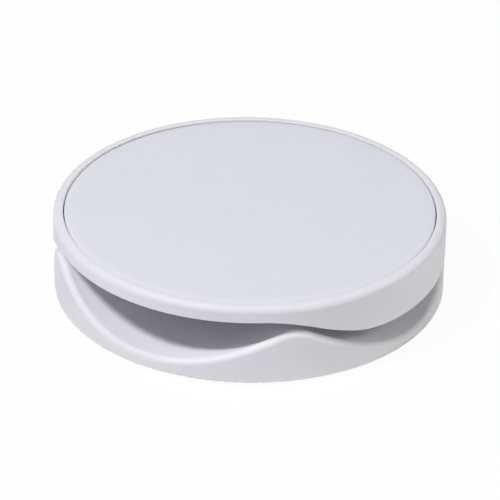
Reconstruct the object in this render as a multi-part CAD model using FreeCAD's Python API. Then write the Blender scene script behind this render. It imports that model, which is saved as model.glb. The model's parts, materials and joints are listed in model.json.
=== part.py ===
import FreeCAD, Part
import math
import os
from FreeCAD import Vector

# Collapsible phone grip, closed. Millimetres, +Z up, origin at the centre of the adhesive face.
# Fingers reach in from -Y and +Y, all hinge pins lie along Y, and the links fold inward along X.

# Outline
top_diameter = 40.0
base_step = 0.05            # the base wall stands in from the top shell's wall by this

# Adhesive pad
pad_thickness = 0.6
pad_seat_depth = 0.3
pad_inset = 2.4             # from the base wall to the pad's edge
pad_margin = 0.15           # between the pad's edge and the wall of its seat

# Base shell
well_floor = 0.95           # thickness under the folded links
side_scoop_step = 0.1       # lowest line of the side scoops above the well's floor
finger_scoop_step = 0.6     # lowest line of the finger scoops above the well's floor
well_corner_round = 0.4
crest_gap = 0.65            # from the rounded crest up to the top shell's lower edge
crest_round = 3.8           # where two scoops meet
base_lip_round = 0.55       # between a scoop and the outer wall
base_foot_round = 0.3
snap_width = 0.96           # slot through which a pin clicks into a base lug

# Top shell
cap_thickness = 0.65        # between the links and the cover disc
skirt_drop = 3.08           # lower edge at the sides, below the lower edge over the finger scoops
skirt_wall = 1.2
wave_inset = 3.45           # from the outer wall to the middle of the wave in the lower edge
wave_slope = 31.0           # of the wave's straight part, degrees
wave_upper_bend = 8.0       # radius where the wave leaves the ceiling
wave_lower_bend = 4.5       # radius where the wave reaches the skirt's lower edge
skirt_edge_round = 0.15
rim_width = 1.0
rim_round = 0.65            # outer edge of the rim
rim_inner_round = 0.12

# Cover disc, let into the top shell
cover_thickness = 1.0
cover_sink = 0.05           # below the top of the rim
cover_gap = 0.12            # all round the disc
cover_crown_width = 0.9     # ring in which the upper face falls away towards the edge
cover_crown_drop = 0.16

# Links and pins
link_length = 9.0           # from pin to pin
link_width = 16.0
link_thickness = 1.15
barrel_diameter = 2.5       # of the hinge barrels and of the lugs beside them
knuckle_width = 7.8         # the upper link's knee knuckle, between the lower link's two
pin_diameter = 1.2
lug_thickness = 1.6
pin_chamfer = 0.15

# Clearances
pin_press = 0.01            # pin in the lugs or knuckles that hold it, radial
pin_running = 0.05          # pin in the barrel that turns on it, radial
pin_end_gap = 0.1           # at the ends of a pin in a blind hole or inside a barrel
side_play = 0.2             # between a link and what stands beside it
barrel_room = 0.25          # round a barrel or plate
barrel_gap = 0.5            # between stacked barrels and stacked lugs
fold_gap = 0.1              # between a plate's inner face and the line through its pins
knee_gap = 1.9              # between the left and right knees

# Worked out from the sizes above
top_radius = top_diameter / 2
base_radius = top_radius - base_step
pad_radius = base_radius - pad_inset
recess_radius = top_radius - rim_width
cover_radius = recess_radius - cover_gap
pin_radius = pin_diameter / 2
barrel_radius = barrel_diameter / 2
hinge_depth = max(barrel_radius, fold_gap + link_thickness)
crest_x = base_radius / math.sqrt(2)

foot_z = pad_thickness - pad_seat_depth
well_z = foot_z + well_floor
side_scoop_z = well_z + side_scoop_step
finger_scoop_z = well_z + finger_scoop_step
base_pin_z = well_z + barrel_room + hinge_depth
top_pin_z = base_pin_z + barrel_diameter + barrel_gap
knee_z = (base_pin_z + top_pin_z) / 2
ceiling_z = top_pin_z + hinge_depth + barrel_room
skirt_z = ceiling_z - skirt_drop
recess_z = ceiling_z + cap_thickness
cover_z = recess_z + cover_thickness
rim_z = cover_z + cover_sink

closed_angle = math.degrees(math.asin((top_pin_z - base_pin_z) / 2 / link_length))
knee_x = knee_gap / 2 + barrel_radius
pin_x = knee_x + link_length * math.cos(math.radians(closed_angle))
half_width = link_width / 2
half_knuckle = knuckle_width / 2
well_half_width = half_width + side_play
well_half_length = pin_x + barrel_radius + barrel_room
lug_end = well_half_width + lug_thickness

ORIGIN = Vector(0, 0, 0)
X = Vector(1, 0, 0)
Y = Vector(0, 1, 0)
Z = Vector(0, 0, 1)


def at(x, z, y=0):
    return Vector(x, y, z)


def line(start, end):
    return Part.LineSegment(start, end).toShape()


def bend(centre_x, centre_z, radius, first, last):
    """Arc in the XZ plane, between two angles in degrees from +X towards +Z."""
    angles = [math.radians(a) for a in (first, (first + last) / 2, last)]
    points = [at(centre_x + radius * math.cos(a), centre_z + radius * math.sin(a)) for a in angles]
    return Part.Arc(*points).toShape()


def outline(edges):
    return Part.Face(Part.Wire(Part.__sortEdges__(edges)))


def disc(radius, bottom, top):
    return Part.makeCylinder(radius, top - bottom, at(0, bottom))


def rod(x, z, radius, half_length):
    """Cylinder along Y, centred on the XZ plane."""
    return Part.makeCylinder(radius, 2 * half_length, at(x, z, -half_length), Y)


def slab(x_span, y_span, z_span):
    low = Vector(x_span[0], y_span[0], z_span[0])
    return Part.makeBox(x_span[1] - x_span[0], y_span[1] - y_span[0], z_span[1] - z_span[0], low)


def edges_where(shape, test):
    return [edge for edge in shape.Edges if all(test(point) for point in edge.discretize(5))]


def on_wall(point, radius):
    return abs(math.hypot(point.x, point.y) - radius) < 1e-3


def across(shape):
    return shape.mirror(ORIGIN, X)


def four_ways(shape):
    """The shape and its copies in the other three quarters."""
    return [shape, across(shape), shape.mirror(ORIGIN, Y), across(shape).mirror(ORIGIN, Y)]


def wave_points():
    """Places along X and Z where the wave on the +X side starts, straightens, bends again and ends."""
    slope = math.radians(wave_slope)
    upper_run = wave_upper_bend * math.sin(slope)
    lower_run = wave_lower_bend * math.sin(slope)
    first_z = ceiling_z - wave_upper_bend * (1 - math.cos(slope))
    second_z = skirt_z + wave_lower_bend * (1 - math.cos(slope))
    straight_run = (first_z - second_z) / math.tan(slope)
    first_x = top_radius - wave_inset - straight_run / 2
    second_x = first_x + straight_run
    return first_x - upper_run, (first_x, first_z), (second_x, second_z), second_x + lower_run


def wave_height(x):
    """Height of the top shell's lower edge at a distance x from the centre."""
    start_x, first, second, end_x = wave_points()
    if x <= start_x:
        return ceiling_z
    if x <= first[0]:
        return ceiling_z - wave_upper_bend + math.sqrt(wave_upper_bend ** 2 - (x - start_x) ** 2)
    if x <= second[0]:
        return first[1] - (x - first[0]) * math.tan(math.radians(wave_slope))
    if x <= end_x:
        return skirt_z + wave_lower_bend - math.sqrt(wave_lower_bend ** 2 - (end_x - x) ** 2)
    return skirt_z


def below_wave():
    """Everything under the top shell's lower edge."""
    start_x, first, second, end_x = wave_points()
    far_x = 2 * top_radius
    low_z = -far_x
    flank = [
        bend(start_x, ceiling_z - wave_upper_bend, wave_upper_bend, 90, 90 - wave_slope),
        line(at(*first), at(*second)),
        bend(end_x, skirt_z + wave_lower_bend, wave_lower_bend, 270 - wave_slope, 270),
        line(at(end_x, skirt_z), at(far_x, skirt_z)),
        line(at(far_x, skirt_z), at(far_x, low_z)),
    ]
    edges = flank + [across(edge) for edge in flank]
    edges.append(line(at(-start_x, ceiling_z), at(start_x, ceiling_z)))
    edges.append(line(at(-far_x, low_z), at(far_x, low_z)))
    prism = outline(edges).extrude(Y * (2 * far_x))
    prism.translate(Y * -far_x)
    return prism


def lug(pin_z, seat_z):
    """Ear round a pin's end in the +X +Y quarter, with a straight shank to the shell that carries it."""
    rise = 1 if seat_z > pin_z else -1
    left = pin_x - barrel_radius
    right = pin_x + barrel_radius
    profile = outline([
        bend(pin_x, pin_z, barrel_radius, 0, -180 * rise),
        line(at(left, pin_z), at(left, seat_z)),
        line(at(left, seat_z), at(right, seat_z)),
        line(at(right, seat_z), at(right, pin_z)),
    ])
    profile.translate(Y * well_half_width)
    return profile.extrude(Y * lug_thickness)


def adhesive_pad():
    return disc(pad_radius, foot_z + pad_seat_depth - pad_thickness, foot_z + pad_seat_depth)


def scoop_radius(rise):
    """Radius of a scoop that climbs by this much on its way out to the crests."""
    return (crest_x ** 2 + rise ** 2) / (2 * rise)


def slope_at_crest(rise):
    """Slope of such a scoop at a crest, followed round the base wall."""
    return math.atan(crest_x / (scoop_radius(rise) - rise) / math.sqrt(2))


def crest_height():
    """Height of the sharp crests, so that the rounded ones clear the top shell."""
    rounded_z = wave_height(crest_x) - crest_gap
    crest_z = rounded_z
    for _ in range(20):
        slopes = [slope_at_crest(crest_z - low_z) for low_z in (finger_scoop_z, side_scoop_z)]
        crest_z = rounded_z + crest_round * sum(1 / math.cos(slope) - 1 for slope in slopes) / 2
    return crest_z


def scooped_disc():
    """Round base with two crossing scoops, so that four crests stand between four dips."""
    crest_z = crest_height()
    body = disc(base_radius, foot_z, 2 * crest_z)
    for along, low_z in ((Y, finger_scoop_z), (X, side_scoop_z)):
        radius = scoop_radius(crest_z - low_z)
        start = along * (-2 * base_radius) + Z * (low_z + radius)
        body = body.cut(Part.makeCylinder(radius, 4 * base_radius, start, along))
    return body


def on_scoop(distance, height, low_z):
    """Whether a point at this distance from a scoop's lowest line lies on its surface."""
    radius = scoop_radius(crest_height() - low_z)
    return abs(math.hypot(distance, low_z + radius - height) - radius) < 1e-3


def well():
    """Room for the folded links."""
    block = slab(
        (-well_half_length, well_half_length),
        (-well_half_width, well_half_width),
        (well_z, rim_z),
    )
    upright = [edge for edge in block.Edges if abs(edge.tangentAt(0).z) > 0.5]
    return block.makeFillet(well_corner_round, upright)


def base_pin_seat():
    """Hole of a base pin, open at the top through the snap slot."""
    hole = rod(pin_x, base_pin_z, pin_radius + pin_press, lug_end)
    slot = slab(
        (pin_x - snap_width / 2, pin_x + snap_width / 2),
        (-lug_end, lug_end),
        (base_pin_z, rim_z),
    )
    return hole.fuse(slot)


def base_shell():
    body = scooped_disc().cut(well())
    ridges = edges_where(body, lambda p: on_scoop(p.x, p.z, finger_scoop_z) and on_scoop(p.y, p.z, side_scoop_z))
    body = body.makeFillet(crest_round, ridges)
    lip = edges_where(body, lambda p: on_wall(p, base_radius) and p.z > foot_z + well_floor / 2)
    body = body.makeFillet(base_lip_round, lip)
    lower_edge = edges_where(body, lambda p: on_wall(p, base_radius) and abs(p.z - foot_z) < 1e-4)
    body = body.makeFillet(base_foot_round, lower_edge)
    for ear in four_ways(lug(base_pin_z, well_z)):
        body = body.fuse(ear)
    seat = base_pin_seat()
    body = body.cut(seat).cut(across(seat))
    pad_seat = disc(pad_radius + pad_margin, 0, foot_z + pad_seat_depth)
    return body.cut(pad_seat).removeSplitter()


def top_shell():
    body = disc(top_radius, foot_z, rim_z)
    body = body.cut(disc(top_radius - skirt_wall, foot_z, ceiling_z))
    body = body.cut(disc(recess_radius, recess_z, rim_z))
    body = body.cut(below_wave())
    outer = edges_where(body, lambda p: on_wall(p, top_radius) and abs(p.z - rim_z) < 1e-4)
    body = body.makeFillet(min(rim_round, rim_width * 0.7), outer)
    inner = edges_where(body, lambda p: on_wall(p, recess_radius) and abs(p.z - rim_z) < 1e-4)
    body = body.makeFillet(min(rim_inner_round, rim_width * 0.25), inner)
    lower = edges_where(body, lambda p: on_wall(p, top_radius) and p.z < ceiling_z + 1e-4)
    body = body.makeFillet(skirt_edge_round, lower)
    for ear in four_ways(lug(top_pin_z, ceiling_z)):
        body = body.fuse(ear)
    hole = rod(pin_x, top_pin_z, pin_radius + pin_press, lug_end)
    return body.cut(hole).cut(across(hole)).removeSplitter()


def cover_disc():
    """Round disc whose upper face falls away a little towards its edge."""
    crown_radius = (cover_crown_width ** 2 + cover_crown_drop ** 2) / (2 * cover_crown_drop)
    crown_turn = math.degrees(math.asin(cover_crown_width / crown_radius))
    flat_radius = cover_radius - cover_crown_width
    edge_z = cover_z - cover_crown_drop
    profile = outline([
        line(at(0, recess_z), at(cover_radius, recess_z)),
        line(at(cover_radius, recess_z), at(cover_radius, edge_z)),
        bend(flat_radius, cover_z - crown_radius, crown_radius, 90 - crown_turn, 90),
        line(at(flat_radius, cover_z), at(0, cover_z)),
        line(at(0, cover_z), at(0, recess_z)),
    ])
    return profile.revolve(ORIGIN, Z, 360)


def link(knuckles, gaps, knee_fit):
    """Plate along +X, hung below the line from its shell pin at the origin to its knee pin."""
    plate = slab((0, link_length), (-half_width, half_width), (-fold_gap - link_thickness, -fold_gap))
    body = plate.fuse(rod(0, 0, barrel_radius, half_width))
    for low, high in gaps:
        room = Part.makeCylinder(barrel_radius + barrel_room, high - low, at(link_length, 0, low), Y)
        body = body.cut(room)
        body = body.cut(slab((link_length, link_length + barrel_diameter), (low, high), (-barrel_diameter, 0)))
    for low, high in knuckles:
        body = body.fuse(Part.makeCylinder(barrel_radius, high - low, at(link_length, 0, low), Y))
    body = body.cut(rod(0, 0, pin_radius + pin_running, half_width))
    body = body.cut(rod(link_length, 0, pin_radius + knee_fit, half_width))
    return body.removeSplitter()


def lower_link():
    """Left link between the base and the knee, with two outer knuckles that hold the knee pin."""
    inner = half_knuckle + side_play
    knuckles = [(-half_width, -inner), (inner, half_width)]
    body = link(knuckles, [(-inner, inner)], pin_press)
    body.rotate(ORIGIN, Y, -closed_angle)
    body.translate(at(-pin_x, base_pin_z))
    return body


def upper_link():
    """Left link between the knee and the top, with one middle knuckle that turns on the knee pin."""
    gaps = [(-half_width, -half_knuckle), (half_knuckle, half_width)]
    body = link([(-half_knuckle, half_knuckle)], gaps, pin_running).mirror(ORIGIN, Z)
    body.rotate(ORIGIN, Y, closed_angle)
    body.translate(at(-pin_x, top_pin_z))
    return body


def pin(x, z, half_length):
    body = rod(x, z, pin_radius, half_length)
    ends = [edge for edge in body.Edges if edge.Length < 2.01 * math.pi * pin_radius and edge.isClosed()]
    return body.makeChamfer(pin_chamfer, ends)


parts = {
    "base_shell": base_shell(),
    "adhesive_pad": adhesive_pad(),
    "top_shell": top_shell(),
    "cover_disc": cover_disc(),
}
left_parts = {
    "lower_link": lower_link(),
    "upper_link": upper_link(),
    "base_pin": pin(-pin_x, base_pin_z, lug_end - pin_end_gap),
    "knee_pin": pin(-knee_x, knee_z, half_width - pin_end_gap),
    "top_pin": pin(-pin_x, top_pin_z, lug_end),
}
for name, shape in left_parts.items():
    parts["left_" + name] = shape
    parts["right_" + name] = across(shape)

os.makedirs("parts", exist_ok=True)
for name, shape in parts.items():
    shape.exportStep("parts/" + name + ".step")
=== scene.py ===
import json
import math
import bpy
from mathutils import Matrix, Vector


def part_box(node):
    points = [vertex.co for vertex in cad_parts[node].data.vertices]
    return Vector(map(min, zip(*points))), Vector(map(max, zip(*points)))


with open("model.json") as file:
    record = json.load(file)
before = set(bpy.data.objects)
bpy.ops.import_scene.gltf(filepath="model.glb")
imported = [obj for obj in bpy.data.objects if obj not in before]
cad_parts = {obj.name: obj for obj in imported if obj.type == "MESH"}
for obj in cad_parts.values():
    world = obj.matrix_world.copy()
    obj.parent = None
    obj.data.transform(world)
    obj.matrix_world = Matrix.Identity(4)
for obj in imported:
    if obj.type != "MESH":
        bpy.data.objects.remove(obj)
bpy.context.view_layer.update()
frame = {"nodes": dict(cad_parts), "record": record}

# White collapsible phone grip, closed, in a plain white studio. Metres, in the part's own frame.

MM = 0.001

# Camera, at the photograph's angle
camera_azimuth = 31.0           # round from the -Y side, degrees
camera_elevation = 30.1
camera_roll = 0.89
camera_distance = 400 * MM
camera_lens = 280.2             # millimetres, on a sensor 36 mm wide
camera_aim_right = 0.117 * MM   # the view's centre, from the middle of the base's foot
camera_aim_up = 3.18 * MM

# Light
lamp_distance = 500 * MM
key_left = 57.0                 # round to the left of the camera, degrees
key_elevation = 56.0
key_size = 80 * MM
key_power = 1.80
key_colour = (0.97, 0.97, 1.0)
fill_right = 72.0               # round to the right of the camera
fill_elevation = 34.0
fill_size = 200 * MM
fill_power = 0.80
fill_colour = (1.0, 1.0, 0.975)
sky_strength = 0.1
sky_colour = (0.97, 0.98, 1.0)
floor_size = 4.0
floor_drop = 0.02 * MM          # under the pad's lower face
floor_colour = (0.9, 0.9, 0.9)
floor_glow = 0.95               # share of the floor's look that is plain white

# Finishes
shell_white = (0.83, 0.822, 0.855)
cover_white = (0.80, 0.799, 0.855)
link_white = (0.76, 0.76, 0.78)
foam_grey = (0.55, 0.56, 0.57)
steel_grey = (0.60, 0.59, 0.58)
shell_roughness = 0.58
cover_roughness = 0.58
link_roughness = 0.40
plastic_uneven = 0.04           # roughness goes up and down by this
plastic_drift = 0.006           # share by which the colour goes up and down
plastic_gloss = 0.35
plastic_scatter = 0.6           # share of the plastic's light that has gone a little way in
plastic_depth = 0.5 * MM
plastic_reach = (1.0, 0.9, 0.95)  # red, green and blue, as shares of that depth
noise_low, noise_high = 0.3, 0.7  # most of a noise's values lie between these


def shade(colour, factor):
    return tuple(channel * factor for channel in colour) + (1.0,)


def new_material(name):
    material = bpy.data.materials.new(name)
    material.use_nodes = True
    nodes = material.node_tree.nodes
    return material, nodes, material.node_tree.links, nodes["Principled BSDF"]


def add_node(nodes, kind, **values):
    """A node of that kind, with the named inputs set."""
    node = nodes.new(kind)
    for name, value in values.items():
        node.inputs[name].default_value = value
    return node


def object_noise(nodes, links, size, detail=2.0, stretch=(1.0, 1.0, 1.0)):
    """Noise fixed to the piece, with features of about that size in metres."""
    place = nodes.new("ShaderNodeTexCoord")
    mapping = add_node(nodes, "ShaderNodeMapping", Scale=stretch)
    noise = add_node(nodes, "ShaderNodeTexNoise", Scale=1 / size, Detail=detail)
    links.new(place.outputs["Object"], mapping.inputs["Vector"])
    links.new(mapping.outputs["Vector"], noise.inputs["Vector"])
    return noise.outputs["Fac"]


def vary_colour(nodes, links, amount, colour, spread, target):
    """Colour that drifts by a small share of itself as the amount goes from low to high."""
    ramp = nodes.new("ShaderNodeValToRGB")
    ramp.color_ramp.elements[0].position = noise_low
    ramp.color_ramp.elements[0].color = shade(colour, 1 - spread)
    ramp.color_ramp.elements[1].position = noise_high
    ramp.color_ramp.elements[1].color = shade(colour, 1 + spread)
    links.new(amount, ramp.inputs["Fac"])
    links.new(ramp.outputs["Color"], target)


def vary_value(nodes, links, amount, low, high, target):
    limits = {"From Min": noise_low, "From Max": noise_high, "To Min": low, "To Max": high}
    remap = add_node(nodes, "ShaderNodeMapRange", **limits)
    links.new(amount, remap.inputs["Value"])
    links.new(remap.outputs["Result"], target)


def add_bump(nodes, links, height, depth, shader):
    bump = add_node(nodes, "ShaderNodeBump", Strength=1.0, Distance=depth)
    links.new(height, bump.inputs["Height"])
    links.new(bump.outputs["Normal"], shader.inputs["Normal"])


def moulded_plastic(name, colour, roughness, grain_size, grain_depth):
    """Moulded plastic: a faint drift of colour, uneven gloss, the mould's grain and some scatter."""
    material, nodes, links, shader = new_material(name)
    drift = object_noise(nodes, links, 6 * MM)
    vary_colour(nodes, links, drift, colour, plastic_drift, shader.inputs["Base Color"])
    gloss = object_noise(nodes, links, 1.5 * MM, detail=4.0)
    low, high = roughness - plastic_uneven, roughness + plastic_uneven
    vary_value(nodes, links, gloss, low, high, shader.inputs["Roughness"])
    add_bump(nodes, links, object_noise(nodes, links, grain_size), grain_depth, shader)
    shader.inputs["Specular IOR Level"].default_value = plastic_gloss
    shader.inputs["Subsurface Weight"].default_value = plastic_scatter
    shader.inputs["Subsurface Radius"].default_value = plastic_reach
    shader.inputs["Subsurface Scale"].default_value = plastic_depth
    return material


def drawn_steel():
    """Drawn wire: streaks along the pins, which lie along Y."""
    material, nodes, links, shader = new_material("drawn_steel")
    shader.inputs["Metallic"].default_value = 1.0
    streaks = object_noise(nodes, links, 0.12 * MM, detail=3.0, stretch=(1.0, 0.03, 1.0))
    vary_colour(nodes, links, streaks, steel_grey, 0.08, shader.inputs["Base Color"])
    vary_value(nodes, links, streaks, 0.22, 0.38, shader.inputs["Roughness"])
    add_bump(nodes, links, streaks, 0.004 * MM, shader)
    return material


def foam_tape():
    """Closed-cell foam: small round cells under a dull skin of glue."""
    material, nodes, links, shader = new_material("foam_tape")
    place = nodes.new("ShaderNodeTexCoord")
    cells = add_node(nodes, "ShaderNodeTexVoronoi", Scale=1 / (0.22 * MM))
    links.new(place.outputs["Object"], cells.inputs["Vector"])
    vary_colour(nodes, links, cells.outputs["Distance"], foam_grey, 0.05, shader.inputs["Base Color"])
    vary_value(nodes, links, cells.outputs["Distance"], 0.7, 0.85, shader.inputs["Roughness"])
    add_bump(nodes, links, cells.outputs["Distance"], 0.03 * MM, shader)
    return material


def dress_nodes():
    finishes = {
        "shell_plastic": moulded_plastic("shell_plastic", shell_white, shell_roughness, 0.1 * MM, 0.001 * MM),
        "cover_plastic": moulded_plastic("cover_plastic", cover_white, cover_roughness, 0.07 * MM, 0.002 * MM),
        "link_plastic": moulded_plastic("link_plastic", link_white, link_roughness, 0.1 * MM, 0.001 * MM),
        "pin_steel": drawn_steel(),
        "adhesive_foam": foam_tape(),
    }
    for subpart in frame["record"]["subparts"]:
        node = frame["nodes"][subpart["node"]]
        node.data.materials.clear()
        node.data.materials.append(finishes[subpart["material_slot"]])


def direction(azimuth, elevation):
    """Unit vector towards a place round the object: azimuth 0 is -Y and 90 is +X, in degrees."""
    a = math.radians(azimuth)
    e = math.radians(elevation)
    return Vector((math.sin(a) * math.cos(e), -math.cos(a) * math.cos(e), math.sin(e)))


def add_camera():
    foot = Vector((0, 0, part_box("base_shell")[0].z))
    back = direction(camera_azimuth, camera_elevation)
    turn = (-back).to_track_quat("-Z", "Y").to_matrix() @ Matrix.Rotation(math.radians(camera_roll), 3, "Z")
    data = bpy.data.cameras.new("camera")
    data.lens = camera_lens
    data.clip_start = camera_distance / 100
    camera = bpy.data.objects.new("camera", data)
    camera.location = foot + back * camera_distance + turn @ Vector((camera_aim_right, camera_aim_up, 0))
    camera.rotation_euler = turn.to_euler()
    bpy.context.scene.collection.objects.link(camera)
    bpy.context.scene.camera = camera


def add_lamp(name, azimuth, elevation, size, power, colour):
    towards = direction(azimuth, elevation)
    data = bpy.data.lights.new(name, "AREA")
    data.shape = "DISK"
    data.size = size
    data.energy = power
    data.color = colour
    lamp = bpy.data.objects.new(name, data)
    lamp.location = towards * lamp_distance
    lamp.rotation_euler = (-towards).to_track_quat("-Z", "Y").to_euler()
    bpy.context.scene.collection.objects.link(lamp)


def seen_directly(nodes, links):
    """1 for what the camera sees, also in a reflection or through glass, and 0 for light on the object."""
    path = nodes.new("ShaderNodeLightPath")
    either = nodes.new("ShaderNodeMath")
    either.operation = "MAXIMUM"
    links.new(path.outputs["Is Camera Ray"], either.inputs[0])
    links.new(path.outputs["Is Glossy Ray"], either.inputs[1])
    every = nodes.new("ShaderNodeMath")
    every.operation = "MAXIMUM"
    links.new(either.outputs["Value"], every.inputs[0])
    links.new(path.outputs["Is Transmission Ray"], every.inputs[1])
    return every.outputs["Value"]


def add_sky():
    world = bpy.data.worlds.new("studio")
    world.use_nodes = True
    bpy.context.scene.world = world
    nodes = world.node_tree.nodes
    links = world.node_tree.links
    output = nodes["World Output"]
    light = nodes["Background"]
    light.inputs["Color"].default_value = sky_colour + (1.0,)
    light.inputs["Strength"].default_value = sky_strength
    backdrop = add_node(nodes, "ShaderNodeBackground", Color=(1.0, 1.0, 1.0, 1.0), Strength=1.0)
    mix = nodes.new("ShaderNodeMixShader")
    links.new(seen_directly(nodes, links), mix.inputs["Fac"])
    links.new(light.outputs["Background"], mix.inputs[1])
    links.new(backdrop.outputs["Background"], mix.inputs[2])
    links.new(mix.outputs["Shader"], output.inputs["Surface"])


def add_floor():
    half = floor_size / 2
    corners = [(-half, -half, 0), (half, -half, 0), (half, half, 0), (-half, half, 0)]
    mesh = bpy.data.meshes.new("floor")
    mesh.from_pydata(corners, [], [(0, 1, 2, 3)])
    floor = bpy.data.objects.new("floor", mesh)
    floor.location.z = -floor_drop
    bpy.context.scene.collection.objects.link(floor)
    material, nodes, links, shader = new_material("floor")
    shader.inputs["Base Color"].default_value = floor_colour + (1.0,)
    shader.inputs["Roughness"].default_value = 1.0
    shader.inputs["Specular IOR Level"].default_value = 0.0
    glow = add_node(nodes, "ShaderNodeEmission", Color=(1.0, 1.0, 1.0, 1.0), Strength=1.0)
    share = nodes.new("ShaderNodeMath")
    share.operation = "MULTIPLY"
    share.inputs[1].default_value = floor_glow
    links.new(seen_directly(nodes, links), share.inputs[0])
    mix = nodes.new("ShaderNodeMixShader")
    links.new(share.outputs["Value"], mix.inputs["Fac"])
    links.new(shader.outputs["BSDF"], mix.inputs[1])
    links.new(glow.outputs["Emission"], mix.inputs[2])
    links.new(mix.outputs["Shader"], nodes["Material Output"].inputs["Surface"])
    mesh.materials.append(material)


bpy.context.scene.view_settings.view_transform = "Standard"
dress_nodes()
add_camera()
add_lamp("key", camera_azimuth - key_left, key_elevation, key_size, key_power, key_colour)
add_lamp("fill", camera_azimuth + fill_right, fill_elevation, fill_size, fill_power, fill_colour)
add_sky()
add_floor()
